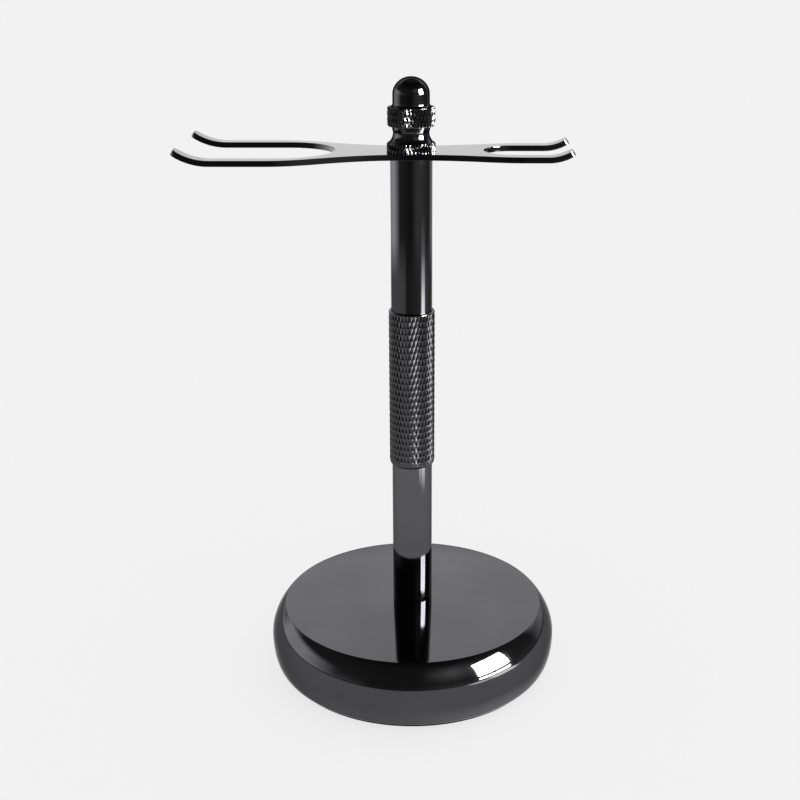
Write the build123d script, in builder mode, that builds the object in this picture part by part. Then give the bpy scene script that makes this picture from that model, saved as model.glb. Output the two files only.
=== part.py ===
from build123d import *
import math
import os

# Razor and brush stand: a weighted round base, a two-piece pole joined under a knurled sleeve,
# and a two-forked plate that a screwed finial clamps on top of the pole.
# Millimetres, +Z up. The origin is on the pole's axis, on the surface that the stand rests on.
# The brush fork points to -X and the razor fork to +X.

# ---- driving dimensions -------------------------------------------------------------------------
BASE_R = 37.5               # widest radius of the base
BASE_H = 19.0               # rest surface to the flat top of the base
POLE_R = 5.1                # both plain tubes
POLE_RISE = 116.7           # flat top of the base to the underside of the plate
SLEEVE_R = 5.75
SLEEVE_LOW = 38.0           # lower end of the sleeve above the base
SLEEVE_L = 40.8
PLATE_T = 1.4
BRUSH_GAP_R = 12.1          # round seat of the brush fork
RAZOR_GAP_R = 7.05          # round seat of the razor fork
FINIAL_H = 17.2             # top of the plate to the top of the dome
THREAD_R = 2.5              # M5 throughout

# ---- fits ---------------------------------------------------------------------------------------
SNUG = 0.02                 # radial gap between pieces that are pressed or screwed together
RUNNING = 0.06              # radial gap between pieces that turn on the stud

# ---- base ---------------------------------------------------------------------------------------
PAD_T = 1.0
PAD_R = 34.2
BASE_LAND_R = 8.0           # flat land round the foot of the pole
BASE_CROWN_R = 33.8         # where the gently crowned top ends and the rim begins
BASE_CROWN_DROP = 1.2       # how far the top falls from the land to the rim
BASE_WAIST_Z = 9.4          # height of the widest radius
BASE_FOOT_R = 34.4          # radius at the shell's lower edge
RIM_START_DEG = 40.0        # the rim's slope where it leaves the crown
RIM_TOP_HANDLE = 1.2        # short, so that the rim turns down quickly
RIM_SIDE_HANDLE = 4.2
FOOT_FULLNESS = 0.62        # the foot's curve: a little fuller than an ellipse
ELLIPSE = 0.5523            # curve handle, as a share of the run, that makes a quarter ellipse
SHELL_T = 1.6
BOTTOM_PLATE_T = 1.2
BOTTOM_PLATE_GAP = 0.05
ACCESS_HOLE_R = 6.0         # opening in the bottom plate for the screw's head
BALLAST_R = 30.5
BALLAST_BREAK = 1.0
SCREW_HOLE_R = 2.75
COUNTERBORE_R = 5.6
COUNTERBORE_DEPTH = 6.2

# ---- base screw and washers ---------------------------------------------------------------------
FLAT_WASHER_R = 5.0
FLAT_WASHER_T = 1.0
LOCK_WASHER_R = 4.6
LOCK_WASHER_T = 1.2
LOCK_WASHER_SLIT = 0.8
WASHER_HOLE_R = 2.65
HEAD_R = 4.25
HEAD_H = 4.0
HEAD_BREAK = 0.4
HEX_ACROSS_FLATS = 4.0
HEX_DEPTH = 2.2
SCREW_GRIP = 24.0           # shank length under the head

# ---- pole ---------------------------------------------------------------------------------------
TUBE_T = 1.0
PLUG_L = 14.0
PLUG_BREAK = 0.4
SLEEVE_TOP_BREAK = 0.3
SLEEVE_FOOT_BREAK = 0.6
COUPLING_STUD_L = 23.0
TOP_STUD_BELOW = 11.7       # stud length inside the pole
TOP_STUD_ABOVE = 8.0        # stud length above the plate
STUD_BREAK = 0.4

# ---- plate --------------------------------------------------------------------------------------
WAIST_HALF = 7.0            # half width of the plate over the pole
BRUSH_CROTCH_X = 18.2       # axis to the bottom of the brush fork
BRUSH_TIP_X = 54.9
BRUSH_OUTER_HALF = 15.9     # half width over the two prongs
BRUSH_BEND_R = 14.1         # inside radius of the upturned tips
BRUSH_BEND_DEG = 35.0
RAZOR_CROTCH_X = 17.2
RAZOR_TIP_X = 38.3
RAZOR_OUTER_HALF = 10.85
RAZOR_BEND_R = 10.1
RAZOR_BEND_DEG = 33.0
BRUSH_SHOULDER = (18.0, 22.0, 34.0)     # handles and end of the outline's swell to the brush fork
RAZOR_SHOULDER = (15.0, 18.0, 27.0)     # the same for the razor fork
TIP_CORNER_R = 1.6

# ---- finial, heights above the plate ------------------------------------------------------------
FOOT_RING_R = 5.95
FOOT_RING_TOP_R = 5.8
FOOT_RING_H = 1.95
NECK_FOOT_R = 5.3
NECK_R = 4.35
NECK_H = 4.3
NECK_TOP_R = 4.6
KNOB_R = 5.75
KNOB_LOW = 5.75
KNOB_TOP = 10.25
KNOB_BREAK = 0.3
DOME_R = 4.45
DOME_BLEND = 0.8
DOME_RISE = 4.1             # height of the domed end
THRUST_WASHER_T = 0.5
THRUST_WASHER_R = 4.8
THRUST_WASHER_SIDE_GAP = 0.2
FINIAL_LIFT_OFF = 0.05      # the washer, not the finial's rim, bears on the plate
FINIAL_BORE_DEPTH = 9.0

# ---- heights worked out from the above ----------------------------------------------------------
plate_low_z = BASE_H + POLE_RISE
plate_top_z = plate_low_z + PLATE_T
sleeve_low_z = BASE_H + SLEEVE_LOW
joint_z = sleeve_low_z + SLEEVE_L / 2
plug_r = POLE_R - TUBE_T - SNUG
bored_r = THREAD_R + SNUG
ballast_low_z = PAD_T + BOTTOM_PLATE_T
ballast_top_z = BASE_H - BASE_CROWN_DROP - SHELL_T
washer_seat_z = ballast_low_z + COUNTERBORE_DEPTH
lock_washer_low_z = washer_seat_z - FLAT_WASHER_T - LOCK_WASHER_T

os.makedirs("parts", exist_ok=True)


def finish(piece, name):
    """Label a finished piece and write it to its own file."""
    piece.part.label = name
    export_step(piece.part, "parts/" + name + ".step")


def shell_outline(inset, foot_z):
    """Side view of the base's outer curve, or of the same curve moved inwards by a wall."""
    crown_r = BASE_CROWN_R - inset
    crown_z = BASE_H - BASE_CROWN_DROP - inset
    widest = BASE_R - inset
    foot_r = BASE_FOOT_R - inset
    foot_run = widest - foot_r
    foot_rise = BASE_WAIST_Z - foot_z
    rim_start = math.radians(RIM_START_DEG)
    if inset:
        Line((0, crown_z), (crown_r, crown_z))
        axis_z = crown_z
    else:
        Line((0, BASE_H), (BASE_LAND_R, BASE_H))
        Bezier((BASE_LAND_R, BASE_H), ((BASE_LAND_R + crown_r) / 2, BASE_H), (crown_r, crown_z))
        axis_z = BASE_H
    Bezier(
        (crown_r, crown_z),
        (crown_r + RIM_TOP_HANDLE * math.cos(rim_start), crown_z - RIM_TOP_HANDLE * math.sin(rim_start)),
        (widest, BASE_WAIST_Z + RIM_SIDE_HANDLE),
        (widest, BASE_WAIST_Z),
    )
    Bezier(
        (widest, BASE_WAIST_Z),
        (widest, BASE_WAIST_Z - FOOT_FULLNESS * foot_rise),
        (foot_r + FOOT_FULLNESS * foot_run, foot_z),
        (foot_r, foot_z),
    )
    Line((foot_r, foot_z), (0, foot_z))
    Line((0, foot_z), (0, axis_z))


# ---- base ---------------------------------------------------------------------------------------
with BuildPart() as base_shell:
    with BuildSketch(Plane.XZ):
        with BuildLine():
            shell_outline(0.0, PAD_T)
        make_face()
    revolve(axis=Axis.Z)
    with BuildSketch(Plane.XZ):
        with BuildLine():
            shell_outline(SHELL_T, PAD_T)
        make_face()
    revolve(axis=Axis.Z, mode=Mode.SUBTRACT)
    with BuildSketch(Plane.XY.offset(ballast_top_z)):
        Circle(SCREW_HOLE_R)
    extrude(amount=BASE_H - ballast_top_z, mode=Mode.SUBTRACT)
finish(base_shell, "base_shell")

with BuildPart() as base_ballast:
    with BuildSketch(Plane.XY.offset(ballast_low_z)):
        Circle(BALLAST_R)
    extrude(amount=ballast_top_z - ballast_low_z)
    chamfer(base_ballast.edges().filter_by(GeomType.CIRCLE), length=BALLAST_BREAK)
    with BuildSketch(Plane.XY.offset(ballast_low_z)):
        Circle(COUNTERBORE_R)
    extrude(amount=COUNTERBORE_DEPTH, mode=Mode.SUBTRACT)
    with BuildSketch(Plane.XY.offset(ballast_low_z)):
        Circle(SCREW_HOLE_R)
    extrude(amount=ballast_top_z - ballast_low_z, mode=Mode.SUBTRACT)
finish(base_ballast, "base_ballast")

with BuildPart() as base_bottom_plate:
    with BuildSketch(Plane.XY.offset(PAD_T)):
        Circle(BASE_FOOT_R - SHELL_T - BOTTOM_PLATE_GAP)
        Circle(ACCESS_HOLE_R, mode=Mode.SUBTRACT)
    extrude(amount=BOTTOM_PLATE_T)
finish(base_bottom_plate, "base_bottom_plate")

with BuildPart() as base_pad:
    with BuildSketch():
        Circle(PAD_R)
    extrude(amount=PAD_T)
finish(base_pad, "base_pad")

with BuildPart() as base_flat_washer:
    with BuildSketch(Plane.XY.offset(washer_seat_z - FLAT_WASHER_T)):
        Circle(FLAT_WASHER_R)
        Circle(WASHER_HOLE_R, mode=Mode.SUBTRACT)
    extrude(amount=FLAT_WASHER_T)
finish(base_flat_washer, "base_flat_washer")

with BuildPart() as base_lock_washer:
    with BuildSketch(Plane.XY.offset(lock_washer_low_z)):
        Circle(LOCK_WASHER_R)
        Circle(WASHER_HOLE_R, mode=Mode.SUBTRACT)
        with Locations((LOCK_WASHER_R, 0)):
            Rectangle(2 * LOCK_WASHER_R, LOCK_WASHER_SLIT, mode=Mode.SUBTRACT)
    extrude(amount=LOCK_WASHER_T)
finish(base_lock_washer, "base_lock_washer")

with BuildPart() as base_screw:
    with BuildSketch(Plane.XY.offset(lock_washer_low_z - HEAD_H)):
        Circle(HEAD_R)
    extrude(amount=HEAD_H)
    chamfer(base_screw.edges().group_by(Axis.Z)[0], length=HEAD_BREAK)
    with BuildSketch(Plane.XY.offset(lock_washer_low_z)):
        Circle(THREAD_R)
    extrude(amount=SCREW_GRIP)
    chamfer(base_screw.edges().group_by(Axis.Z)[-1], length=STUD_BREAK)
    with BuildSketch(Plane.XY.offset(lock_washer_low_z - HEAD_H)):
        RegularPolygon(HEX_ACROSS_FLATS / 2, 6, major_radius=False)
    extrude(amount=HEX_DEPTH, mode=Mode.SUBTRACT)
finish(base_screw, "base_screw")


# ---- pole ---------------------------------------------------------------------------------------
def pole_tube(low_z, high_z):
    """One plain tube of the pole between two heights."""
    with BuildPart() as tube:
        with BuildSketch(Plane.XY.offset(low_z)):
            Circle(POLE_R)
            Circle(POLE_R - TUBE_T, mode=Mode.SUBTRACT)
        extrude(amount=high_z - low_z)
    return tube


def threaded_plug(low_z):
    """A plug pressed into a tube, with a tapped hole right through."""
    with BuildPart() as plug:
        with BuildSketch(Plane.XY.offset(low_z)):
            Circle(plug_r)
        extrude(amount=PLUG_L)
        chamfer(plug.edges().filter_by(GeomType.CIRCLE), length=PLUG_BREAK)
        with BuildSketch(Plane.XY.offset(low_z)):
            Circle(bored_r)
        extrude(amount=PLUG_L, mode=Mode.SUBTRACT)
    return plug


def stud(low_z, high_z):
    """A headless screw between two heights."""
    with BuildPart() as rod:
        with BuildSketch(Plane.XY.offset(low_z)):
            Circle(THREAD_R)
        extrude(amount=high_z - low_z)
        chamfer(rod.edges().filter_by(GeomType.CIRCLE), length=STUD_BREAK)
    return rod


finish(pole_tube(BASE_H, joint_z), "lower_tube")
finish(pole_tube(joint_z, plate_low_z), "upper_tube")
finish(threaded_plug(BASE_H), "lower_tube_foot_plug")
finish(threaded_plug(joint_z - PLUG_L), "lower_tube_head_plug")
finish(threaded_plug(joint_z), "upper_tube_foot_plug")
finish(threaded_plug(plate_low_z - PLUG_L), "upper_tube_head_plug")
finish(stud(joint_z - COUPLING_STUD_L / 2, joint_z + COUPLING_STUD_L / 2), "coupling_stud")
finish(stud(plate_low_z - TOP_STUD_BELOW, plate_top_z + TOP_STUD_ABOVE), "top_stud")

with BuildPart() as knurled_sleeve:
    with BuildSketch(Plane.XY.offset(sleeve_low_z)):
        Circle(SLEEVE_R)
    extrude(amount=SLEEVE_L)
    chamfer(knurled_sleeve.edges().group_by(Axis.Z)[-1], length=SLEEVE_TOP_BREAK)
    chamfer(knurled_sleeve.edges().group_by(Axis.Z)[0], length=SLEEVE_FOOT_BREAK)
    with BuildSketch(Plane.XY.offset(sleeve_low_z)):
        Circle(POLE_R + SNUG)
    extrude(amount=SLEEVE_L, mode=Mode.SUBTRACT)
finish(knurled_sleeve, "knurled_sleeve")


# ---- plate --------------------------------------------------------------------------------------
def bend_start(tip_x, bend_r, bend_deg):
    """Where the flat plate ends and the upturned tip begins, as a distance from the pole's axis."""
    return tip_x - (bend_r + PLATE_T) * math.sin(math.radians(bend_deg))


def bent_end(radius, start, bend_r, bend_deg):
    """End point of one face of an upturned tip, as run and height."""
    turn = math.radians(bend_deg)
    run = start + radius * math.sin(turn)
    rise = plate_top_z + bend_r - radius * math.cos(turn)
    return run, rise


brush_start = bend_start(BRUSH_TIP_X, BRUSH_BEND_R, BRUSH_BEND_DEG)
razor_start = bend_start(RAZOR_TIP_X, RAZOR_BEND_R, RAZOR_BEND_DEG)
brush_in = bent_end(BRUSH_BEND_R, brush_start, BRUSH_BEND_R, BRUSH_BEND_DEG)
brush_out = bent_end(BRUSH_BEND_R + PLATE_T, brush_start, BRUSH_BEND_R, BRUSH_BEND_DEG)
razor_in = bent_end(RAZOR_BEND_R, razor_start, RAZOR_BEND_R, RAZOR_BEND_DEG)
razor_out = bent_end(RAZOR_BEND_R + PLATE_T, razor_start, RAZOR_BEND_R, RAZOR_BEND_DEG)
brush_bend_centre = (-brush_start, plate_top_z + BRUSH_BEND_R)
razor_bend_centre = (razor_start, plate_top_z + RAZOR_BEND_R)

with BuildPart() as holder_plate:
    with BuildSketch(Plane.XZ):
        with BuildLine():
            Line((-brush_start, plate_top_z), (razor_start, plate_top_z))
            CenterArc(razor_bend_centre, RAZOR_BEND_R, 270, RAZOR_BEND_DEG)
            Line(razor_in, razor_out)
            CenterArc(razor_bend_centre, RAZOR_BEND_R + PLATE_T, 270, RAZOR_BEND_DEG)
            Line((-brush_start, plate_low_z), (razor_start, plate_low_z))
            CenterArc(brush_bend_centre, BRUSH_BEND_R + PLATE_T, 270, -BRUSH_BEND_DEG)
            Line((-brush_in[0], brush_in[1]), (-brush_out[0], brush_out[1]))
            CenterArc(brush_bend_centre, BRUSH_BEND_R, 270, -BRUSH_BEND_DEG)
        make_face()
    extrude(amount=BRUSH_OUTER_HALF, both=True)
    with BuildSketch(Plane.XY.offset(plate_low_z)):
        with BuildLine():
            Bezier(
                (0, WAIST_HALF),
                (-BRUSH_SHOULDER[0], WAIST_HALF),
                (-BRUSH_SHOULDER[1], BRUSH_OUTER_HALF),
                (-BRUSH_SHOULDER[2], BRUSH_OUTER_HALF),
            )
            Bezier(
                (0, WAIST_HALF),
                (RAZOR_SHOULDER[0], WAIST_HALF),
                (RAZOR_SHOULDER[1], RAZOR_OUTER_HALF),
                (RAZOR_SHOULDER[2], RAZOR_OUTER_HALF),
            )
            Line((-BRUSH_SHOULDER[2], BRUSH_OUTER_HALF), (-BRUSH_TIP_X, BRUSH_OUTER_HALF))
            Line((-BRUSH_TIP_X, BRUSH_OUTER_HALF), (-BRUSH_TIP_X, 0))
            Line((RAZOR_SHOULDER[2], RAZOR_OUTER_HALF), (RAZOR_TIP_X, RAZOR_OUTER_HALF))
            Line((RAZOR_TIP_X, RAZOR_OUTER_HALF), (RAZOR_TIP_X, 0))
            Line((RAZOR_TIP_X, 0), (-BRUSH_TIP_X, 0))
        make_face()
        mirror(about=Plane.XZ)
        with Locations((-BRUSH_CROTCH_X - BRUSH_GAP_R, 0)):
            Circle(BRUSH_GAP_R, mode=Mode.SUBTRACT)
            Rectangle(BRUSH_TIP_X, 2 * BRUSH_GAP_R, align=(Align.MAX, Align.CENTER), mode=Mode.SUBTRACT)
        with Locations((RAZOR_CROTCH_X + RAZOR_GAP_R, 0)):
            Circle(RAZOR_GAP_R, mode=Mode.SUBTRACT)
            Rectangle(RAZOR_TIP_X, 2 * RAZOR_GAP_R, align=(Align.MIN, Align.CENTER), mode=Mode.SUBTRACT)
        Circle(THREAD_R + RUNNING, mode=Mode.SUBTRACT)
    extrude(amount=BRUSH_BEND_R, mode=Mode.INTERSECT)
    tip_corners = holder_plate.edges().filter_by(GeomType.LINE).filter_by(
        lambda edge: abs(edge.center().X) > RAZOR_TIP_X - PLATE_T
        and abs(edge.length - PLATE_T) < PLATE_T / 10
    )
    fillet(tip_corners, radius=TIP_CORNER_R)
finish(holder_plate, "holder_plate")


# ---- finial and its thrust washer ---------------------------------------------------------------
rim_z = plate_top_z + FINIAL_LIFT_OFF
recess_z = plate_top_z + THRUST_WASHER_T
foot_ring_z = plate_top_z + FOOT_RING_H
neck_z = plate_top_z + NECK_H
knob_low_z = plate_top_z + KNOB_LOW
knob_top_z = plate_top_z + KNOB_TOP
finial_top_z = plate_top_z + FINIAL_H
dome_start_z = finial_top_z - DOME_RISE

with BuildPart() as finial_washer:
    with BuildSketch(Plane.XY.offset(plate_top_z)):
        Circle(THRUST_WASHER_R)
        Circle(THREAD_R + 2 * RUNNING, mode=Mode.SUBTRACT)
    extrude(amount=THRUST_WASHER_T)
finish(finial_washer, "finial_washer")

with BuildPart() as finial:
    with BuildSketch(Plane.XZ):
        with BuildLine():
            Polyline(
                (0, rim_z),
                (FOOT_RING_R, rim_z),
                (FOOT_RING_TOP_R, foot_ring_z),
                (NECK_FOOT_R, foot_ring_z),
            )
            TangentArc((NECK_R, neck_z), (NECK_FOOT_R, foot_ring_z), tangent=(0, -1))
            Polyline(
                (NECK_R, neck_z),
                (NECK_TOP_R, knob_low_z),
                (KNOB_R - KNOB_BREAK, knob_low_z),
                (KNOB_R, knob_low_z + KNOB_BREAK),
                (KNOB_R, knob_top_z - KNOB_BREAK),
                (KNOB_R - KNOB_BREAK, knob_top_z),
                (DOME_R + DOME_BLEND, knob_top_z),
            )
            TangentArc(
                (DOME_R + DOME_BLEND, knob_top_z),
                (DOME_R, knob_top_z + DOME_BLEND),
                tangent=(-1, 0),
            )
            Line((DOME_R, knob_top_z + DOME_BLEND), (DOME_R, dome_start_z))
            Bezier(
                (DOME_R, dome_start_z),
                (DOME_R, dome_start_z + ELLIPSE * DOME_RISE),
                (ELLIPSE * DOME_R, finial_top_z),
                (0, finial_top_z),
            )
            Line((0, finial_top_z), (0, rim_z))
        make_face()
    revolve(axis=Axis.Z)
    with BuildSketch(Plane.XY.offset(rim_z)):
        Circle(THRUST_WASHER_R + THRUST_WASHER_SIDE_GAP)
    extrude(amount=recess_z - rim_z, mode=Mode.SUBTRACT)
    with BuildSketch(Plane.XY.offset(recess_z)):
        Circle(THREAD_R + RUNNING)
    extrude(amount=FINIAL_BORE_DEPTH - THRUST_WASHER_T, mode=Mode.SUBTRACT)
finish(finial, "finial")
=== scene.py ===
import math
from collections import namedtuple

import bmesh
import bpy
from mathutils import Euler, Matrix, Vector


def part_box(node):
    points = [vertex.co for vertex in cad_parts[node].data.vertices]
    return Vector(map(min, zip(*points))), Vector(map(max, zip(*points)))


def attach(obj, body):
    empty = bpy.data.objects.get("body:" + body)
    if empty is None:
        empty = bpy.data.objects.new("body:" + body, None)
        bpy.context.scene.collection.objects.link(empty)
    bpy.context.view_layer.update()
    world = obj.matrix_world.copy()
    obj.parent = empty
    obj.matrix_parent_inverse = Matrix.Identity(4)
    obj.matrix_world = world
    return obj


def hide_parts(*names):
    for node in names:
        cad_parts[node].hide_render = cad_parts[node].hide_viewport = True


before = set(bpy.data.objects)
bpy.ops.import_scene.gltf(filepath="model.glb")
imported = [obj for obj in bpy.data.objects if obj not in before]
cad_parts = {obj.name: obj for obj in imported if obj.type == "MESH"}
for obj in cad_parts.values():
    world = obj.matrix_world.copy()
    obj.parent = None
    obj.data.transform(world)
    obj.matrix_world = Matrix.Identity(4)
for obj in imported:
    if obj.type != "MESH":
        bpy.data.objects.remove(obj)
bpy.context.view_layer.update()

# Lengths below are in millimetres, and are turned into metres where a mesh is made.
MM = 0.001

# ---- sizes that the pieces share ----------------------------------------------------------------
shell_low, shell_high = (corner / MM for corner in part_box("base_shell"))
pad_low, pad_high = (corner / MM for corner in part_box("base_pad"))
lower_low, lower_high = (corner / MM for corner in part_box("lower_tube"))
upper_low, upper_high = (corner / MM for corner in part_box("upper_tube"))
sleeve_low, sleeve_high = (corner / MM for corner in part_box("knurled_sleeve"))
plate_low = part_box("holder_plate")[0] / MM
washer_low, washer_high = (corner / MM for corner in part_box("finial_washer"))
stud_low, stud_high = (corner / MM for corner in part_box("top_stud"))
finial_low, finial_high = (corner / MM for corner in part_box("finial"))

PLATE_T = 1.4
plate_top = plate_low.z + PLATE_T

# ---- base ---------------------------------------------------------------------------------------
BASE_LAND_R = 8.0               # flat land round the pole
BASE_CROWN_R = 33.8
BASE_CROWN_DROP = 1.2
BASE_WAIST_Z = 9.4              # height of the widest place
BASE_FOOT_R = 34.4
RIM_START_DEG = 40.0            # the rim's slope where it leaves the crown
RIM_TOP_HANDLE = 1.2
RIM_SIDE_HANDLE = 4.2
RIM_BREAK = 0.4                 # radius where crown and rim meet
FOOT_FULLNESS = 0.62            # how far the side keeps its direction before it turns to the foot
HAIR = 0.003                    # keeps round pieces inside the CAD model's faceted box
SHELL_T = 1.6
SCREW_HOLE_R = 2.75
PAD_EDGE = 0.25                 # radius of the pad's edges
PAD_FLAT = 0.98                 # how much of the pad's radius is flat

# ---- pole ---------------------------------------------------------------------------------------
TUBE_T = 1.0
TUBE_BORE_LIP = 0.5             # depth of the bore's softened mouth
LOWER_TUBE_EDGE = 0.25
UPPER_TUBE_EDGE = 0.2
SLEEVE_T = 0.63
SLEEVE_CHAMFER = 0.6            # at the sleeve's lower end
SLEEVE_LIP = 0.35               # plain lip above the knurl
SLEEVE_LIP_STEP = 0.02          # how far the lip lies inside the crests
SLEEVE_LIP_CHAMFER = 0.28
SLEEVE_KNURL_STOP = 0.01        # keeps the lip's own row plain
SLEEVE_EDGE = 0.08

# ---- top stud -----------------------------------------------------------------------------------
THREAD_CREST_R = 2.5
THREAD_ROOT_R = 2.06
THREAD_PITCH = 0.8
THREAD_FLANK = 1.25             # how quickly the thread falls from crest to root
THREAD_FLAT = 0.12              # how much of that fall the crest's flat takes up
STUD_END_CUT = 0.1              # how far the stud's ends lie below the root
STUD_COLUMNS = 48
STUD_RINGS = 8                  # rings of the mesh in one turn of thread

# ---- knurls -------------------------------------------------------------------------------------
KNURL_STEPS = 8                 # mesh steps across one diamond, each way
SLEEVE_KNURL_DEPTH = 0.2
FINIAL_KNURL_DEPTH = 0.33
SLEEVE_DIAMONDS = 36            # round the sleeve
SLEEVE_DIAMOND_H = 3.25
FINIAL_DIAMONDS = 38
FINIAL_DIAMOND_H = 3.05
# how deep the surface lies below the crests, as a share of the groove's depth, from crest to groove
KNURL_PROFILE = (0.0, 0.10, 0.42, 0.76, 1.0)
KNURL_REACH = 1.0               # a row this far inside the crests is not knurled
LAST_ROW_SHARE = 0.25           # a last row thinner than this share of a step joins the one below
PLAIN = 2.0                     # what the relief says where there is no knurl

# ---- finial, heights above the plate ------------------------------------------------------------
FOOT_RING_R = 5.95
FOOT_RING_TOP_R = 5.8
FOOT_RING_H = 1.95
NECK_FOOT_R = 5.3
NECK_R = 4.35
NECK_H = 4.3
NECK_TOP_R = 4.6
KNOB_R = 5.75
KNOB_LOW = 5.75
KNOB_TOP = 10.25
KNOB_BREAK = 0.3
DOME_R = 4.45
DOME_BLEND = 0.8
DOME_RISE = 4.1
RECESS_R = 5.0
BORE_R = 2.56
BORE_DEPTH = 9.0
FOOT_RING_BREAKS = (0.12, 0.25) # chamfers under and over the foot ring
COVE_START = 0.4                # how far the cove runs out before it falls
COVE_FOOT = 0.3                 # shares of the cove's height that its curve leans on
COVE_HEAD = 0.45
NECK_STEP = (0.06, 0.1)         # outwards and upwards, where the neck turns into the cone
NECK_COLLAR = 0.35              # plain band under the knob
NECK_EDGE = 0.1
WASHER_BORE_R = 2.62
WASHER_EDGE = 0.12
WASHER_SEAM = (0.2, 0.3)        # heights in its bore where its outline starts and ends

# ---- plate --------------------------------------------------------------------------------------
WAIST_HALF = 7.0
STUD_HOLE_R = 2.56
# gap_r and outer are half widths; crotch, tip and shoulder are distances from the pole's axis
BRUSH = {"gap_r": 12.1, "crotch": 18.2, "tip": 54.9, "outer": 15.9, "bend_r": 14.1, "bend_deg": 35.0,
         "shoulder": (18.0, 22.0, 34.0)}
RAZOR = {"gap_r": 7.05, "crotch": 17.2, "tip": 38.3, "outer": 10.85, "bend_r": 10.1, "bend_deg": 33.0,
         "shoulder": (15.0, 18.0, 27.0)}
TIP_CORNER_R = 1.6
PLATE_EDGE = 0.28
BEND_STEPS = 16
WAIST_CUT = 12.0                # where the plate's waist is cut across
CUT_GAP = 1e-7                  # in metres, how near a vertex counts as on a cut or on its neighbour
WELD_GAP = 1e-6                 # in metres, how near two vertices count as one


# ---- curves -------------------------------------------------------------------------------------
ELLIPSE = 0.5523                # how far a quarter circle's curve leans on each of its handles
SOFT_TURN = math.radians(20)    # corners that turn less than this stay as they are
SOFT_REACH = 0.45               # the share of a side that a rounded corner may use up


def bezier(a, b, c, d, steps):
    """Points of a cubic curve from a to d, both included."""
    points = []
    for k in range(steps + 1):
        t = k / steps
        s = 1 - t
        weights = (s ** 3, 3 * s * s * t, 3 * s * t * t, t ** 3)
        x = sum(weight * point[0] for weight, point in zip(weights, (a, b, c, d)))
        y = sum(weight * point[1] for weight, point in zip(weights, (a, b, c, d)))
        points.append((x, y))
    return points


def arc(centre, radius, start_deg, end_deg, steps):
    """Points of a circular arc, both ends included."""
    points = []
    for k in range(steps + 1):
        turn = math.radians(start_deg + (end_deg - start_deg) * k / steps)
        points.append((centre[0] + radius * math.cos(turn), centre[1] + radius * math.sin(turn)))
    return points


def soften(points, radius, steps=4):
    """The same open outline with each inner corner sharper than SOFT_TURN rounded off."""
    out = [points[0]]
    for before, here, after in zip(points, points[1:], points[2:]):
        p, a, b = Vector(here), Vector(before), Vector(after)
        back, ahead = a - p, b - p
        turn = math.pi - back.angle(ahead)
        if turn < SOFT_TURN:
            out.append(here)
            continue
        cut = min(radius * math.tan(turn / 2), SOFT_REACH * back.length, SOFT_REACH * ahead.length)
        start, end = p + back.normalized() * cut, p + ahead.normalized() * cut
        for k in range(steps + 1):
            t = k / steps
            blend = start * (1 - t) ** 2 + p * 2 * t * (1 - t) + end * t * t
            out.append((blend.x, blend.y))
    out.append(points[-1])
    return out


# ---- mesh helpers -------------------------------------------------------------------------------
TINY = 1e-6                     # a length too small to matter
SHARP_DEG = 30.0                # edges of turned pieces stay crisp above this
PLATE_SHARP_DEG = 40.0


def new_object(name, vertices, faces, relief=None):
    """A smooth-shaded mesh object in metres, its sharp edges marked and its faces turned outwards.

    relief is a number for each vertex: 1 on a knurl's crest, 0 in its groove, PLAIN elsewhere.
    """
    mesh = bpy.data.meshes.new(name)
    mesh.from_pydata([[c * MM for c in v] for v in vertices], [], faces)
    if relief is not None:
        layer = mesh.attributes.new("relief", "FLOAT", "POINT")
        layer.data.foreach_set("value", relief)
    obj = bpy.data.objects.new(name, mesh)
    bpy.context.scene.collection.objects.link(obj)
    work = bmesh.new()
    work.from_mesh(mesh)
    bmesh.ops.recalc_face_normals(work, faces=work.faces)
    shade(work, SHARP_DEG)
    work.to_mesh(mesh)
    work.free()
    return obj


def shade(work, sharp_deg):
    """Smooth faces, with edges sharper than an angle left crisp."""
    limit = math.radians(sharp_deg)
    for face in work.faces:
        face.smooth = True
    for edge in work.edges:
        edge.smooth = len(edge.link_faces) == 2 and edge.calc_face_angle(0.0) < limit


def knurl_depth(column, height, diamond_h):
    """How deep a diamond knurl lies below its crests, from 0 on a crest to 1 in a groove."""
    row = height / diamond_h * KNURL_STEPS
    deepest = 0.0
    for line in (column + row, column - row):
        phase = (line / KNURL_STEPS) % 1.0
        groove = abs(2 * phase - 1) * (len(KNURL_PROFILE) - 1)
        low = min(int(groove), len(KNURL_PROFILE) - 2)
        share = groove - low
        deepest = max(deepest, KNURL_PROFILE[low] * (1 - share) + KNURL_PROFILE[low + 1] * share)
    return deepest


# a knurled band of a turned piece, between two heights
Band = namedtuple("Band", "low high crest_r diamond_h groove")


def in_band(band, r, z):
    """Whether a row of a turned piece lies in a knurled band."""
    return band.low - TINY <= z <= band.high + TINY and r > band.crest_r - KNURL_REACH


def cut_by_knurl(band, column, r, z):
    """A row's radius and relief at one column, cut by the knurl of its band if it has one."""
    if not band:
        return r, PLAIN
    depth = knurl_depth(column, z - band.low, band.diamond_h)
    return min(r, band.crest_r - band.groove * depth), 1.0 - depth


def turned(name, rows, columns, closed, knurls=()):
    """A turned piece. rows are (radius, height) round its section, which is a ring if it is closed."""
    vertices, relief, rings = [], [], []
    for r, z in rows:
        band = next((knurl for knurl in knurls if in_band(knurl, r, z)), None)
        ring = []
        for c in range(columns if r > TINY else 1):
            radius, crest = cut_by_knurl(band, c, r, z)
            turn = 2 * math.pi * c / columns
            ring.append(len(vertices))
            vertices.append((radius * math.cos(turn), radius * math.sin(turn), z))
            relief.append(crest)
        rings.append(ring)
    pairs = list(zip(rings, rings[1:]))
    if closed:
        pairs.append((rings[-1], rings[0]))
    faces = []
    for low, high in pairs:
        faces += strip(low, high, columns, bool(knurls))
    return new_object(name, vertices, faces, relief)


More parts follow.
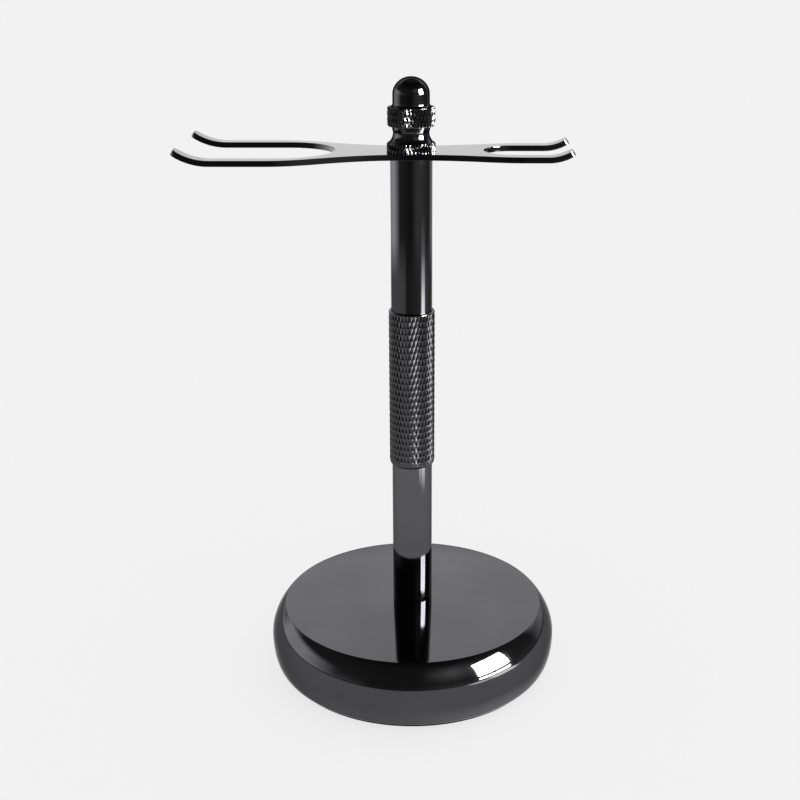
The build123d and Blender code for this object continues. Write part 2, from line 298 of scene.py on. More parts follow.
def strip(low, high, columns, split):
    """The faces between two rings of vertices. A split strip's triangles follow the knurl's diagonals."""
    faces = []
    for c in range(columns):
        d = (c + 1) % columns
        if len(low) == 1:
            faces.append((low[0], high[d], high[c]))
        elif len(high) == 1:
            faces.append((low[c], low[d], high[0]))
        elif not split:
            faces.append((low[c], low[d], high[d], high[c]))
        else:
            row = low[0] // columns
            if (c + row + 1) % (KNURL_STEPS // 2) == 0:
                faces += [(low[c], low[d], high[c]), (low[d], high[d], high[c])]
            else:
                faces += [(low[c], low[d], high[d]), (low[c], high[d], high[c])]
    return faces


def knurl_rows(low_z, high_z, low_r, high_r, low_break, high_break, diamond_h):
    """Rows of a knurled band from its lower to its upper edge, with a chamfer at each end."""
    step = diamond_h / KNURL_STEPS
    heights = [low_z + k * step for k in range(int((high_z - low_z) / step) + 1)]
    if high_z - heights[-1] < step * LAST_ROW_SHARE:
        heights.pop()
    heights.append(high_z)
    rows = []
    for z in heights:
        share = (z - low_z) / (high_z - low_z)
        body = low_r + (high_r - low_r) * share
        cut = max(0.0, low_break - (z - low_z), high_break - (high_z - z))
        rows.append((body - cut, z))
    return rows


# ---- base ---------------------------------------------------------------------------------------
def shell_side(inset, steps):
    """The base's outer curve from the edge of the crowned top down to the foot, moved inwards by a wall."""
    crown_r = BASE_CROWN_R - inset
    crown_z = shell_high.z - BASE_CROWN_DROP - inset
    widest = shell_high.x - HAIR - inset
    foot = BASE_FOOT_R - inset
    foot_run, foot_rise = widest - foot, BASE_WAIST_Z - shell_low.z
    start = math.radians(RIM_START_DEG)
    rim = bezier((crown_r, crown_z),
                 (crown_r + RIM_TOP_HANDLE * math.cos(start), crown_z - RIM_TOP_HANDLE * math.sin(start)),
                 (widest, BASE_WAIST_Z + RIM_SIDE_HANDLE), (widest, BASE_WAIST_Z), steps)
    side = bezier((widest, BASE_WAIST_Z), (widest, BASE_WAIST_Z - FOOT_FULLNESS * foot_rise),
                  (foot + FOOT_FULLNESS * foot_run, shell_low.z), (foot, shell_low.z), steps)
    return rim + side[1:]


def crown(steps):
    """The gently crowned top, from the flat land round the pole to the rim."""
    points = []
    for k in range(steps + 1):
        share = k / steps
        r = BASE_LAND_R + (BASE_CROWN_R - BASE_LAND_R) * share
        points.append((r, shell_high.z - BASE_CROWN_DROP * share * share))
    return points


def make_base_shell():
    """The pressed cover: crowned top, rounded rim, and the wall's inside."""
    top = shell_high.z
    under = top - BASE_CROWN_DROP - SHELL_T
    outer = [(SCREW_HOLE_R, top)] + crown(steps=24)[:-1] + shell_side(0.0, steps=44)
    outer = soften(outer, RIM_BREAK)
    inner = shell_side(SHELL_T, steps=12)[::-1] + [(BASE_CROWN_R / 2, under), (SCREW_HOLE_R, under)]
    return turned("base_cover", outer + inner, columns=288, closed=True)


def make_pad():
    """The foam disc under the base, with soft edges."""
    r, low, high = pad_high.x - HAIR, pad_low.z, pad_high.z
    flat_r = r * PAD_FLAT
    rows = [(0, low), (r / 2, low)]
    rows += soften([(flat_r, low), (r, low), (r, high), (flat_r, high)], PAD_EDGE, 5)
    rows += [(r / 2, high), (0, high)]
    return turned("foam_pad", rows, columns=192, closed=False)


# ---- pole ---------------------------------------------------------------------------------------
def make_tube(name, low, high, edge):
    """One plain tube with softly broken ends and a straight bore."""
    r, bore = high.x, high.x - TUBE_T
    heights = [low.z + (high.z - low.z) * k / 6 for k in range(1, 6)]
    outline = [(bore, low.z + TUBE_BORE_LIP), (bore, low.z), (r, low.z)] + [(r, z) for z in heights]
    outline += [(r, high.z), (bore, high.z), (bore, high.z - TUBE_BORE_LIP)]
    return turned(name, soften(outline, edge), columns=160, closed=True)


def make_lower_tube():
    return make_tube("pole_lower", lower_low, lower_high, LOWER_TUBE_EDGE)


def make_upper_tube():
    return make_tube("pole_upper", upper_low, upper_high, UPPER_TUBE_EDGE)


def make_sleeve():
    """The knurled sleeve: a chamfer below, a narrow plain lip above, and a straight bore."""
    low, high, r = sleeve_low.z, sleeve_high.z, sleeve_high.x
    bore, lip_r = r - SLEEVE_T, r - SLEEVE_LIP_STEP
    knurl_top = high - SLEEVE_LIP
    outer = knurl_rows(low, knurl_top, r, r, SLEEVE_CHAMFER, 0.0, SLEEVE_DIAMOND_H)
    lip = [(lip_r, knurl_top), (lip_r, high - SLEEVE_LIP_CHAMFER), (lip_r - SLEEVE_LIP_CHAMFER, high),
           (bore, high), (bore, high - SLEEVE_CHAMFER)]
    inner = [(bore, low + SLEEVE_CHAMFER), (bore, low)]
    rows = outer + soften(lip, SLEEVE_EDGE, 3)[1:] + inner
    band = Band(low, knurl_top - SLEEVE_KNURL_STOP, r, SLEEVE_DIAMOND_H, SLEEVE_KNURL_DEPTH)
    return turned("sleeve_knurl", rows, SLEEVE_DIAMONDS * KNURL_STEPS, closed=True, knurls=[band])


def stud_ring(number):
    """One ring of the top stud, which climbs by a pitch as it goes round, cut off at the stud's ends."""
    turns = number / STUD_RINGS
    fall = min(1.0, max(0.0, abs(2 * (turns % 1.0) - 1) * THREAD_FLANK - THREAD_FLAT))
    thread_r = THREAD_CREST_R - (THREAD_CREST_R - THREAD_ROOT_R) * fall
    ring = []
    for c in range(STUD_COLUMNS):
        share = c / STUD_COLUMNS
        z = min(max(stud_low.z + THREAD_PITCH * (turns + share - 1), stud_low.z), stud_high.z)
        to_end = min(z - stud_low.z, stud_high.z - z)
        radius = min(thread_r, THREAD_ROOT_R - STUD_END_CUT + to_end)
        ring.append((radius * math.cos(2 * math.pi * share), radius * math.sin(2 * math.pi * share), z))
    return ring


def stud_faces(count):
    """The faces between rings. The last column of a ring meets the first column one turn further up."""
    rings = [range(i * STUD_COLUMNS, (i + 1) * STUD_COLUMNS) for i in range(count)]
    faces = []
    for a, b in zip(rings, rings[1:]):
        for c in range(STUD_COLUMNS - 1):
            faces.append((a[c], a[c + 1], b[c + 1], b[c]))
    for i in range(count - STUD_RINGS - 1):
        wrap, wrap_next = rings[i + STUD_RINGS], rings[i + STUD_RINGS + 1]
        faces.append((rings[i][-1], wrap[0], wrap_next[0], rings[i + 1][-1]))
    return faces


def make_stud():
    """The top stud with its thread as a real helix and flat ends."""
    turns = (stud_high.z - stud_low.z) / THREAD_PITCH
    count = int(turns * STUD_RINGS) + STUD_RINGS + 1
    vertices = [point for i in range(count) for point in stud_ring(i)]
    obj = new_object("stud_thread", vertices, stud_faces(count))
    work = bmesh.new()
    work.from_mesh(obj.data)
    bmesh.ops.remove_doubles(work, verts=work.verts, dist=CUT_GAP)
    bmesh.ops.dissolve_degenerate(work, edges=work.edges, dist=CUT_GAP)
    open_edges = [e for e in work.edges if len(e.link_faces) == 1]
    bmesh.ops.holes_fill(work, edges=open_edges, sides=0)
    bmesh.ops.delete(work, geom=[v for v in work.verts if not v.link_faces], context="VERTS")
    bmesh.ops.recalc_face_normals(work, faces=work.faces)
    shade(work, SHARP_DEG)
    work.to_mesh(obj.data)
    work.free()
    return obj


# ---- plate --------------------------------------------------------------------------------------
def bend_start(fork):
    """Where a fork's prongs start to bend up."""
    return fork["tip"] - (fork["bend_r"] + PLATE_T) * math.sin(math.radians(fork["bend_deg"]))


def flat_tip(fork):
    """Where the tip lies while the plate is still flat."""
    return bend_start(fork) + (fork["bend_r"] + PLATE_T / 2) * math.radians(fork["bend_deg"])


def fork_outline(fork):
    """One fork's half outline, from the waist round the tip to the crotch, for a fork that points to +X."""
    tip = flat_tip(fork)
    a, b, c = fork["shoulder"]
    outer = bezier((0, WAIST_HALF), (a, WAIST_HALF), (b, fork["outer"]), (c, fork["outer"]), 44)
    corners = soften([(c, fork["outer"]), (tip, fork["outer"]), (tip, fork["gap_r"]),
                      (fork["crotch"] + fork["gap_r"], fork["gap_r"])], TIP_CORNER_R, 6)
    seat = arc((fork["crotch"] + fork["gap_r"], 0), fork["gap_r"], 90, 180, 30)
    return outer + corners[1:-1] + seat


def plate_cuts():
    """Where the flat plate is cut across, so that its ends bend evenly and no face is very long."""
    places = []
    for fork, side in ((RAZOR, 1), (BRUSH, -1)):
        start, tip = bend_start(fork), flat_tip(fork)
        places += [side * (start + (tip - start) * k / BEND_STEPS) for k in range(BEND_STEPS)]
        places += [side * x for x in (WAIST_CUT, fork["crotch"] + fork["gap_r"], fork["shoulder"][2])]
    return places + [0.0]


def flat_plate(work):
    """The plate's flat top face: a half outline, cut across, then mirrored."""
    right = fork_outline(RAZOR)
    left = [(-x, y) for x, y in fork_outline(BRUSH)]
    hole = arc((0, 0), STUD_HOLE_R, 0, 180, 32)
    loop = right + hole + left[::-1][:-1]
    work.faces.new([work.verts.new((x * MM, y * MM, plate_top * MM)) for x, y in loop])
    for x in plate_cuts():
        everything = work.verts[:] + work.edges[:] + work.faces[:]
        bmesh.ops.bisect_plane(work, geom=everything, dist=CUT_GAP, plane_co=(x * MM, 0, 0),
                               plane_no=(1, 0, 0))
    everything = work.verts[:] + work.edges[:] + work.faces[:]
    bmesh.ops.mirror(work, geom=everything, axis="Y", merge_dist=WELD_GAP)
    bmesh.ops.remove_doubles(work, verts=work.verts, dist=WELD_GAP)
    bmesh.ops.recalc_face_normals(work, faces=work.faces)


def thicken(work):
    """The plate's thickness below its top face, with the long edges rounded."""
    grown = bmesh.ops.extrude_face_region(work, geom=work.faces[:])
    lower = [v for v in grown["geom"] if isinstance(v, bmesh.types.BMVert)]
    bmesh.ops.translate(work, verts=lower, vec=(0, 0, -PLATE_T * MM))
    bmesh.ops.recalc_face_normals(work, faces=work.faces)
    rim = [e for e in work.edges if len(e.link_faces) == 2
           and sum(abs(f.normal.z) > 0.9 for f in e.link_faces) == 1]
    bmesh.ops.bevel(work, geom=rim, offset=PLATE_EDGE * MM, segments=3, profile=0.5, affect="EDGES",
                    clamp_overlap=True)


def make_plate():
    """The holder: cut flat, given its thickness, then bent up at both ends."""
    work = bmesh.new()
    flat_plate(work)
    thicken(work)
    for v in work.verts:
        v.co = bent(v.co)
    bmesh.ops.recalc_face_normals(work, faces=work.faces)
    shade(work, PLATE_SHARP_DEG)
    mesh = bpy.data.meshes.new("fork_plate")
    work.to_mesh(mesh)
    work.free()
    plate = bpy.data.objects.new("fork_plate", mesh)
    bpy.context.scene.collection.objects.link(plate)
    weighted = plate.modifiers.new("even_shading", "WEIGHTED_NORMAL")
    weighted.mode = "FACE_AREA"
    weighted.keep_sharp = True
    return plate


def bent(place):
    """Where a point of the flat plate lies once the tips are bent up."""
    x, y, z = place / MM
    fork, side = (RAZOR, 1) if x > 0 else (BRUSH, -1)
    along = side * x - bend_start(fork)
    if along <= 0:
        return place
    turn = along / (fork["bend_r"] + PLATE_T / 2)
    radius = fork["bend_r"] + (plate_top - z)
    run = bend_start(fork) + radius * math.sin(turn)
    rise = plate_top + fork["bend_r"] - radius * math.cos(turn)
    return Vector((side * run, y, rise)) * MM


# ---- finial -------------------------------------------------------------------------------------
def make_finial():
    """The turned nut: bore and recess, knurled foot ring, cove and cone, knurled knob, dome."""
    base, rim, summit = plate_top, finial_low.z, finial_high.z
    foot_top, neck = base + FOOT_RING_H, base + NECK_H
    knob_low, knob_top = base + KNOB_LOW, base + KNOB_TOP
    bore_top = base + BORE_DEPTH
    underside = [(0, bore_top), (BORE_R, bore_top), (BORE_R, washer_high.z), (RECESS_R, washer_high.z),
                 (RECESS_R, rim)]
    foot = knurl_rows(rim, foot_top, FOOT_RING_R, FOOT_RING_TOP_R, *FOOT_RING_BREAKS, FINIAL_DIAMOND_H)
    cove_rise = neck - foot_top
    cove = bezier((NECK_FOOT_R, foot_top), (NECK_R + COVE_START, foot_top + COVE_FOOT * cove_rise),
                  (NECK_R, neck - COVE_HEAD * cove_rise), (NECK_R, neck), 16)
    cone = soften([(NECK_R, neck), (NECK_R + NECK_STEP[0], neck + NECK_STEP[1]),
                   (NECK_TOP_R, knob_low - NECK_COLLAR), (NECK_TOP_R, knob_low),
                   (KNOB_R - KNOB_BREAK, knob_low)], NECK_EDGE, 3)
    knob = knurl_rows(knob_low, knob_top, KNOB_R, KNOB_R, KNOB_BREAK, KNOB_BREAK, FINIAL_DIAMOND_H)
    blend = arc((DOME_R + DOME_BLEND, knob_top + DOME_BLEND), DOME_BLEND, 270, 180, 8)
    dome_start = summit - DOME_RISE
    dome = bezier((DOME_R, dome_start), (DOME_R, dome_start + ELLIPSE * DOME_RISE),
                  (ELLIPSE * DOME_R, summit), (0, summit), 32)
    rows = underside + foot + cove + cone[1:-1] + knob + blend + dome
    bands = [Band(rim, foot_top, FOOT_RING_R, FINIAL_DIAMOND_H, FINIAL_KNURL_DEPTH),
             Band(knob_low, knob_top, KNOB_R, FINIAL_DIAMOND_H, FINIAL_KNURL_DEPTH)]
    return turned("finial_knob", rows, FINIAL_DIAMONDS * KNURL_STEPS, closed=False, knurls=bands)


def make_thrust_washer():
    """The nylon ring that sits in the finial's recess."""
    r, low, high = washer_high.x, washer_low.z, washer_high.z
    outline = [(WASHER_BORE_R, low + WASHER_SEAM[0]), (WASHER_BORE_R, low), (r, low), (r, high),
               (WASHER_BORE_R, high), (WASHER_BORE_R, low + WASHER_SEAM[1])]
    return turned("thrust_ring", soften(outline, WASHER_EDGE), columns=96, closed=True)


# ---- materials ----------------------------------------------------------------------------------
class Nodes:
    """Short names for the few node set-ups that the materials share."""

    def __init__(self, tree):
        self.tree = tree

    def add(self, kind, **settings):
        node = self.tree.nodes.new(kind)
        for key, value in settings.items():
            setattr(node, key, value)
        return node

    def link(self, source, target):
        self.tree.links.new(source, target)

    def feed(self, socket, value):
        if hasattr(value, "is_linked"):
            self.link(value, socket)
        else:
            socket.default_value = value

    def math(self, operation, *values):
        node = self.add("ShaderNodeMath", operation=operation)
        for socket, value in zip(node.inputs, values):
            self.feed(socket, value)
        return node.outputs[0]

    def ramp(self, value, stops, interpolation="LINEAR"):
        """A colour ramp. stops are (place, grey or colour)."""
        node = self.add("ShaderNodeValToRGB")
        node.color_ramp.interpolation = interpolation
        while len(node.color_ramp.elements) < len(stops):
            node.color_ramp.elements.new(0.5)
        for element, (place, colour) in zip(node.color_ramp.elements, stops):
            element.position = place
            element.color = (colour, colour, colour, 1) if isinstance(colour, float) else (*colour, 1)
        self.link(value, node.inputs[0])
        return node.outputs[0]

    def noise(self, place, scale, detail=3.0, roughness=0.5):
        """Soft noise from 0 to 1. scale is in waves per metre."""
        node = self.add("ShaderNodeTexNoise")
        self.link(place, node.inputs["Vector"])
        node.inputs["Scale"].default_value = scale
        node.inputs["Detail"].default_value = detail
        node.inputs["Roughness"].default_value = roughness
        return node.outputs[0]

    def span(self, value, low, high):
        """A 0 to 1 value spread between low and high."""
        node = self.add("ShaderNodeMapRange")
        self.link(value, node.inputs[0])
        node.inputs[3].default_value = low
        node.inputs[4].default_value = high
        return node.outputs[0]

    def mix(self, share, first, second):
        """A number between first and second."""
        node = self.add("ShaderNodeMix", data_type="FLOAT")
        self.feed(node.inputs[0], share)
        self.feed(node.inputs[2], first)
        self.feed(node.inputs[3], second)
        return node.outputs[0]

    def product(self, first, *others):
        for other in others:
            first = self.math("MULTIPLY", first, other)
        return first

    def total(self, first, *others):
        for other in others:
            first = self.math("ADD", first, other)
        return first

    def bump(self, height, strength, distance):
        """A surface direction tilted by height. distance is in metres."""
        node = self.add("ShaderNodeBump")
        self.feed(node.inputs["Strength"], strength)
        node.inputs["Distance"].default_value = distance
        self.link(height, node.inputs["Height"])
        return node.outputs[0]


def new_material(name):
    """A material with its nodes, its surface shader and object coordinates in metres."""
    material = bpy.data.materials.new(name)
    material.use_nodes = True
    n = Nodes(material.node_tree)
    shader = material.node_tree.nodes["Principled BSDF"]
    place = n.add("ShaderNodeTexCoord").outputs["Object"]
    return material, n, shader, place


POLISH = (0.035, 0.075)         # lowest and highest roughness of polished plating
HAZE = (260.0, 4.0, 0.6)        # scale, detail and roughness of the polishing haze


def black_chrome(name, edge_tone, tone=1.0):
    """Dark mirror plating: a slight tone drift, faint polishing haze and a breath of orange peel."""
    material, n, shader, place = new_material(name)
    chrome_body(n, shader, place, edge_tone, tone)
    n.link(n.span(n.noise(place, *HAZE), *POLISH), shader.inputs["Roughness"])
    n.link(n.bump(n.noise(place, 900.0, 1.0), 0.02, 0.00002), shader.inputs["Normal"])
    return material


def chrome_body(n, shader, place, edge_tone, tone):
    """The plating's own dark colour, which drifts a little over the piece."""
    shader.inputs["Metallic"].default_value = 1.0
    shader.inputs["Specular Tint"].default_value = (edge_tone, edge_tone, edge_tone, 1)
    darker = tuple(part * tone for part in (0.093, 0.092, 0.097))
    lighter = tuple(part * tone for part in (0.107, 0.105, 0.111))
    body = n.ramp(n.noise(place, 42.0, 2.0), [(0.35, darker), (0.65, lighter)])
    n.link(body, shader.inputs["Base Color"])
    return body


def knurled_chrome(name, edge_tone, gloss_low, gloss_high, worn_tone):
    """The same plating over a knurl: crests rubbed paler, flanks a little rough, plain parts polished."""
    material, n, shader, place = new_material(name)
    body = chrome_body(n, shader, place, edge_tone, 1.0)
    relief = n.add("ShaderNodeAttribute", attribute_name="relief").outputs["Fac"]
    knurled = n.math("LESS_THAN", relief, (1.0 + PLAIN) / 2)
    haze = n.noise(place, *HAZE)
    crest = n.ramp(relief, [(0.72, 0.0), (1.0, 1.0)])
    rubbed = n.add("ShaderNodeMix", data_type="RGBA")
    n.link(n.product(crest, knurled, n.span(haze, 0.4, 1.0)), rubbed.inputs[0])
    n.link(body, rubbed.inputs[6])
    rubbed.inputs[7].default_value = (worn_tone, worn_tone, worn_tone * 1.02, 1)
    n.link(rubbed.outputs[2], shader.inputs["Base Color"])
    rough = n.mix(knurled, n.span(haze, *POLISH), n.span(haze, gloss_low, gloss_high))
    n.link(rough, shader.inputs["Roughness"])
    grain = n.bump(n.noise(place, 2600.0, 2.0), n.math("MULTIPLY", knurled, gloss_high), 0.00003)
    n.link(grain, shader.inputs["Normal"])
    return material


def bare_metal(name, dark, light, rough_low, rough_high, grain, grain_depth):
    """Turned, plated or cast metal with uneven tone, uneven gloss and a fine grain."""
    material, n, shader, place = new_material(name)
    shader.inputs["Metallic"].default_value = 1.0
    n.link(n.ramp(n.noise(place, 160.0, 4.0), [(0.3, dark), (0.7, light)]), shader.inputs["Base Color"])
    n.link(n.span(n.noise(place, 420.0, 3.0), rough_low, rough_high), shader.inputs["Roughness"])
    n.link(n.bump(n.noise(place, grain, 3.0), 0.4, grain_depth), shader.inputs["Normal"])
    return material


def foam():
    """Closed-cell black foam: small round cells, dull, with a dusty tone."""
    material, n, shader, place = new_material("pad_foam")
    cells = n.add("ShaderNodeTexVoronoi")
    n.link(place, cells.inputs["Vector"])
    cells.inputs["Scale"].default_value = 2400.0
    n.link(n.ramp(n.noise(place, 220.0, 4.0), [(0.3, (0.005, 0.005, 0.005)), (0.7, (0.012, 0.012, 0.012))]),
           shader.inputs["Base Color"])
    n.link(n.span(n.noise(place, 900.0), 0.78, 0.95), shader.inputs["Roughness"])
    shader.inputs["Specular IOR Level"].default_value = 0.1
    n.link(n.bump(cells.outputs["Distance"], 0.6, 0.00008), shader.inputs["Normal"])
    return material


def nylon():
    """Natural nylon: milky, faintly mottled, softly glossy."""
    material, n, shader, place = new_material("nylon")
    n.link(n.ramp(n.noise(place, 500.0, 3.0), [(0.3, (0.60, 0.58, 0.50)), (0.7, (0.72, 0.70, 0.62))]),
           shader.inputs["Base Color"])
    n.link(n.span(n.noise(place, 1200.0), 0.35, 0.5), shader.inputs["Roughness"])
    n.link(n.bump(n.noise(place, 2200.0), 0.2, 0.00002), shader.inputs["Normal"])
    return material


def dress(obj, material):
    """The object with this one material."""
    obj.data.materials.clear()
    obj.data.materials.append(material)


# ---- build the pieces ---------------------------------------------------------------------------
mirror_black = black_chrome("black_chrome", 0.5)
tube_black = black_chrome("black_chrome_tube", 0.5, tone=1.4)
plate_black = black_chrome("black_chrome_plate", 1.0)
sleeve_black = knurled_chrome("black_chrome_knurled", 0.6, 0.07, 0.12, 0.14)
finial_black = knurled_chrome("black_chrome_finial", 0.15, 0.10, 0.15, 0.12)
zinc = bare_metal("zinc_steel", (0.42, 0.42, 0.40), (0.58, 0.58, 0.55), 0.28, 0.45, 900.0, 0.00002)
brass = bare_metal("brass", (0.52, 0.36, 0.14), (0.66, 0.48, 0.22), 0.22, 0.38, 1400.0, 0.00001)
cast_iron = bare_metal("cast_iron", (0.05, 0.048, 0.045), (0.10, 0.095, 0.09), 0.55, 0.8, 700.0, 0.00015)

# maker, body that the piece rides on, CAD node that it replaces, material, slot
PIECES = [
    (make_base_shell, "stand", "base_shell", mirror_black, "black_chrome"),
    (make_pad, "stand", "base_pad", foam(), "pad_foam"),
    (make_lower_tube, "stand", "lower_tube", tube_black, "black_chrome"),
    (make_upper_tube, "stand", "upper_tube", tube_black, "black_chrome"),
    (make_sleeve, "stand", "knurled_sleeve", sleeve_black, "black_chrome_knurled"),
    (make_stud, "stand", "top_stud", zinc, "zinc_steel"),
    (make_plate, "holder", "holder_plate", plate_black, "black_chrome"),
    (make_thrust_washer, "thrust_washer", "finial_washer", nylon(), "nylon"),
    (make_finial, "finial", "finial", finial_black, "black_chrome_knurled"),
]
for make, body, node, material, slot in PIECES:
    piece = make()
    dress(piece, material)
    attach(piece, body)
    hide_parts(node)

# inner parts, carried over from the CAD model as they are
HIDDEN = {
    "base_ballast": cast_iron,
    "base_bottom_plate": zinc,
    "base_screw": zinc,
    "base_lock_washer": zinc,
    "base_flat_washer": zinc,
    "coupling_stud": zinc,
    "lower_tube_foot_plug": brass,
    "lower_tube_head_plug": brass,
    "upper_tube_foot_plug": brass,
    "upper_tube_head_plug": brass,
}
for node, material in HIDDEN.items():
    dress(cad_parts[node], material)


# ---- stage --------------------------------------------------------------------------------------
# lengths are in metres from here on
PALE = 0.887                    # surroundings, as light
FLOOR_TONE = 0.20
FLOOR_LIGHT = 0.745             # the floor's own light, so that shadows on it stay faint
STAGE_HALF = 12.0               # half the width of floor and card
CARD_Z = 0.0004                 # the card's height over the floor
PAINTED_STAND_SHADE = 0.62              # painted shade: how bright the floor close to the stand looks in reflections
ROOM_LIGHT = 0.03               # the dark room's own brightness

# the camera
CAMERA_REACH = 0.3207
CAMERA_HEIGHT = 0.1875
CAMERA_TURN_DEG = 1.2
CAMERA_TILT_DEG = 19.5
CAMERA_ROLL_DEG = 0.17
CAMERA_LENS = 60.3              # in millimetres, for a sensor 36 mm wide
CAMERA_SHIFT = -0.015

# the window
WINDOW_DISTANCE = 6.0
WINDOW_TURN_DEG = 67.0          # from the viewer's side, to the right
WINDOW_HALF_DEG = 14.5          # half its width, seen from the stand
WINDOW_BAR = 0.08
WINDOW_ROWS = ((0.01, 0.46, 20.0), (0.86, 3.85, 70.0))  # lower edge, upper edge, brightness


def plane(name, half, z):
    """A level square that belongs to the stage."""
    mesh = bpy.data.meshes.new(name)
    corners = [(-half, -half, z), (half, -half, z), (half, half, z), (-half, half, z)]
    mesh.from_pydata(corners, [], [(0, 1, 2, 3)])
    obj = bpy.data.objects.new(name, mesh)
    bpy.context.scene.collection.objects.link(obj)
    return obj


def make_floor():
    """Plain matte paper that glows, so that it stays pale and even."""
    floor = plane("floor", STAGE_HALF, 0.0)
    material, _, shader, _ = new_material("floor_paper")
    shader.inputs["Base Color"].default_value = (FLOOR_TONE, FLOOR_TONE, FLOOR_TONE, 1)
    shader.inputs["Roughness"].default_value = 0.9
    shader.inputs["Specular IOR Level"].default_value = 0.0
    shader.inputs["Emission Color"].default_value = (1, 1, 1, 1)
    shader.inputs["Emission Strength"].default_value = FLOOR_LIGHT
    dress(floor, material)


def split_axes(n, coordinates):
    """The three parts of a place or a direction."""
    axes = n.add("ShaderNodeSeparateXYZ")
    n.link(n.add("ShaderNodeTexCoord").outputs[coordinates], axes.inputs[0])
    return axes.outputs


def bearing(n, x, y):
    """Direction round the stand as 0 to 1: 0.5 is towards the viewer, more is to the right."""
    turn = n.math("ARCTAN2", x, n.math("MULTIPLY", y, -1.0))
    return n.math("ADD", n.math("DIVIDE", turn, 2 * math.pi), 0.5)


def at(degrees):
    """The place on a ramp of bearings that lies so many degrees to the right of the viewer's side."""
    return degrees / 360 + 0.5


def round_ramp(n, turn, stops):
    """A ramp round the stand. stops are (degrees to the right of the viewer's side, brightness)."""
    return n.ramp(turn, [(at(degrees), level) for degrees, level in stops])


def painted_floor_reflection(n, turn, reach):
    """How bright the floor looks in reflections, as a painted glow: painted shade round the stand, a middle
    ring, the far floor.
    """
    far_side = round_ramp(n, turn, [(-180, 0.9), (-110, 1.0), (-66, 0.05), (0, 0.02), (36, 0.12),
                                    (112, 0.05), (140, 0.7), (180, 0.9)])
    far = n.product(far_side, 1.6)
    middle = round_ramp(n, turn, [(-180, 0.6), (-110, 0.34), (-40, 0.28), (-24, 0.05), (30, 0.10),
                                  (100, 0.22), (128, 0.10), (150, 0.9), (180, 0.9)])
    beyond = n.total(n.product(middle, n.ramp(reach, [(0.42, 1.0), (0.52, 0.0)])),
                     n.product(far, n.ramp(reach, [(0.42, 0.0), (0.52, 1.0)])))
    # painted shade close to the stand
    return n.mix(n.ramp(reach, [(0.20, 1.0), (0.30, 0.0)]), beyond, PAINTED_STAND_SHADE)


def painted_sunlight(n, turn, reach):
    """Painted window light on the floor, seen only in reflections: a far patch, a near patch, and a painted
    glow round the base's foot.
    """
    side = round_ramp(n, turn, [(54, 0.0), (60, 1.0), (76, 1.0), (82, 0.0)])
    along = n.ramp(reach, [(0.12, 0.0), (0.16, 0.9), (0.36, 0.9), (0.41, 0.4), (0.48, 0.06), (0.6, 0.0)])
    patch = n.product(side, along, 5.5)
    near_side = round_ramp(n, turn, [(38, 0.0), (44, 1.0), (52, 1.0), (57, 0.0)])
    near_along = n.ramp(reach, [(0.125, 0.0), (0.16, 1.0), (0.22, 1.0), (0.3, 0.0)])
    near_patch = n.product(near_side, near_along, 3.5)
    # painted highlight along the base's foot
    foot_side = round_ramp(n, turn, [(0, 0.15), (20, 0.5), (45, 1.0), (70, 1.0), (95, 0.3)])
    painted_foot_glow = n.product(foot_side, n.ramp(reach, [(0.0365, 1.0), (0.041, 0.0)]), 1.1)
    return n.total(patch, near_patch, painted_foot_glow)


def make_card():
    """A card on the floor that glows and that only reflections see: a painted reflection of the floor and
    room, dark on the viewer's side, with painted sunlight and painted shade near the stand.
    """
    card = plane("card", STAGE_HALF, CARD_Z)
    card.visible_camera = False
    card.visible_diffuse = False
    card.visible_shadow = False
    material = bpy.data.materials.new("card")
    material.use_nodes = True
    material.node_tree.nodes.clear()
    n = Nodes(material.node_tree)
    x, y, _ = split_axes(n, "Object")
    reach = n.math("SQRT", n.total(n.product(x, x), n.product(y, y)))
    turn = bearing(n, x, y)
    light = n.add("ShaderNodeEmission")
    # the card's glow is painted reflection: painted floor and room, painted sunlight, painted shade near the
    # stand
    n.link(n.total(painted_floor_reflection(n, turn, reach), painted_sunlight(n, turn, reach)), light.inputs["Strength"])
    n.link(light.outputs[0], n.add("ShaderNodeOutputMaterial").inputs[0])
    dress(card, material)


def room_level(n, turn, height):
    """How bright the room looks in reflections. height is 0 at the horizon and 1 overhead."""
    side = round_ramp(n, turn, [(-180, 1.0), (-150, 1.0), (-128, 0.35), (-106, 0.03), (0, 0.02), (114, 0.03),
                                (138, 0.9), (180, 1.0)])
    rise = n.ramp(height, [(0.0, 0.57), (0.13, 0.57), (0.22, 1.0), (0.37, 0.74), (0.50, 0.60), (0.60, 0.04),
                           (1.0, 0.02)])
    backdrop = n.product(side, rise, 2.45)
    lamp_side = round_ramp(n, turn, [(-136, 0.0), (-124, 1.0), (-96, 1.0), (-60, 0.0)])
    lamp_rise = n.ramp(height, [(0.0, 1.0), (0.16, 1.0), (0.24, 0.0)])
    lamp = n.product(lamp_side, lamp_rise, 1.7)
    glow_side = round_ramp(n, turn, [(8, 0.0), (34, 1.0), (60, 0.0)])
    glow_rise = n.ramp(height, [(0.10, 0.0), (0.32, 1.0), (0.5, 0.0)])
    glow = n.product(glow_side, glow_rise, 0.55)
    low_side = round_ramp(n, turn, [(-100, 0.6), (-60, 1.0), (-44, 0.7), (-30, 0.12), (5, 0.15), (25, 0.5),
                                    (100, 0.4)])
    low_rise = n.ramp(height, [(0.0, 1.0), (0.03, 0.6), (0.10, 0.3), (0.22, 0.0)])
    low_glow = n.product(low_side, low_rise, 0.42)
    return n.total(n.total(backdrop, lamp), n.total(glow, low_glow), ROOM_LIGHT)


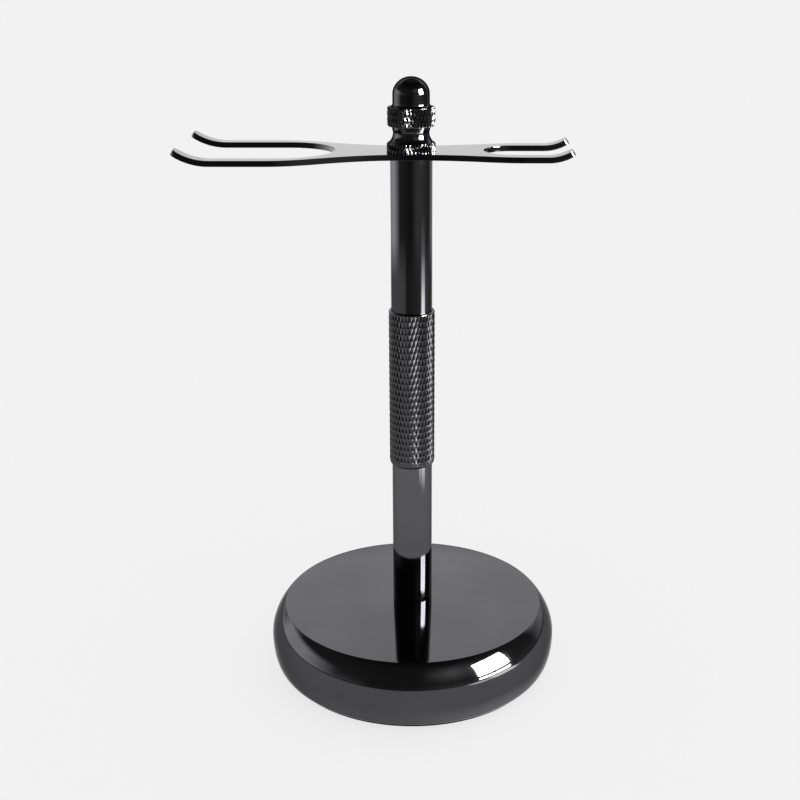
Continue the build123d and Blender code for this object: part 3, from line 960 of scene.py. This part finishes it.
def make_world():
    """Plain pale surroundings; reflections see a bright backdrop behind and a dark room in front."""
    world = bpy.data.worlds.new("studio")
    world.use_nodes = True
    world.node_tree.nodes.clear()
    bpy.context.scene.world = world
    n = Nodes(world.node_tree)
    x, y, z = split_axes(n, "Generated")
    height = n.math("DIVIDE", n.math("ARCSINE", z), math.pi / 2)
    seen = room_level(n, bearing(n, x, y), height)
    glossy = n.add("ShaderNodeLightPath").outputs["Is Glossy Ray"]
    light = n.add("ShaderNodeBackground")
    n.link(n.mix(glossy, PALE, seen), light.inputs["Strength"])
    n.link(light.outputs[0], n.add("ShaderNodeOutputWorld").inputs[0])


def make_window():
    """A window to the right of the viewer, as soft lights in four panes that only gloss picks up."""
    side = math.radians(WINDOW_TURN_DEG)
    outward = Vector((math.sin(side), -math.cos(side), 0))
    across = Vector((math.cos(side), math.sin(side), 0))
    half = WINDOW_DISTANCE * math.tan(math.radians(WINDOW_HALF_DEG))
    pane_w = half - WINDOW_BAR / 2
    for low, high, brightness in WINDOW_ROWS:
        for hand in (-1, 1):
            light = bpy.data.lights.new("pane", "AREA")
            light.shape = "RECTANGLE"
            light.size = pane_w
            light.size_y = high - low
            light.energy = brightness * math.pi * light.size * light.size_y
            pane = bpy.data.objects.new("pane", light)
            pane.location = outward * WINDOW_DISTANCE + across * (hand * (pane_w + WINDOW_BAR) / 2)
            pane.location.z = (low + high) / 2
            pane.rotation_euler = (-outward).to_track_quat("-Z", "Y").to_euler()
            pane.visible_diffuse = False
            bpy.context.scene.collection.objects.link(pane)


def make_camera():
    """The viewer stands in front of the base and looks down at it."""
    turn = math.radians(CAMERA_TURN_DEG)
    data = bpy.data.cameras.new("camera")
    data.sensor_width = 36.0
    data.lens = CAMERA_LENS
    data.shift_x = CAMERA_SHIFT
    data.clip_start = 0.01
    data.clip_end = 50.0
    camera = bpy.data.objects.new("camera", data)
    camera.location = (CAMERA_REACH * math.sin(turn), -CAMERA_REACH * math.cos(turn), CAMERA_HEIGHT)
    aim = Euler((math.radians(90 - CAMERA_TILT_DEG), 0, turn)).to_matrix()
    roll = Matrix.Rotation(math.radians(-CAMERA_ROLL_DEG), 3, "Z")
    camera.rotation_euler = (aim @ roll).to_euler()
    bpy.context.scene.collection.objects.link(camera)
    bpy.context.scene.camera = camera


make_floor()
make_card()
make_world()
make_window()
make_camera()
bpy.context.scene.view_settings.view_transform = "Standard"
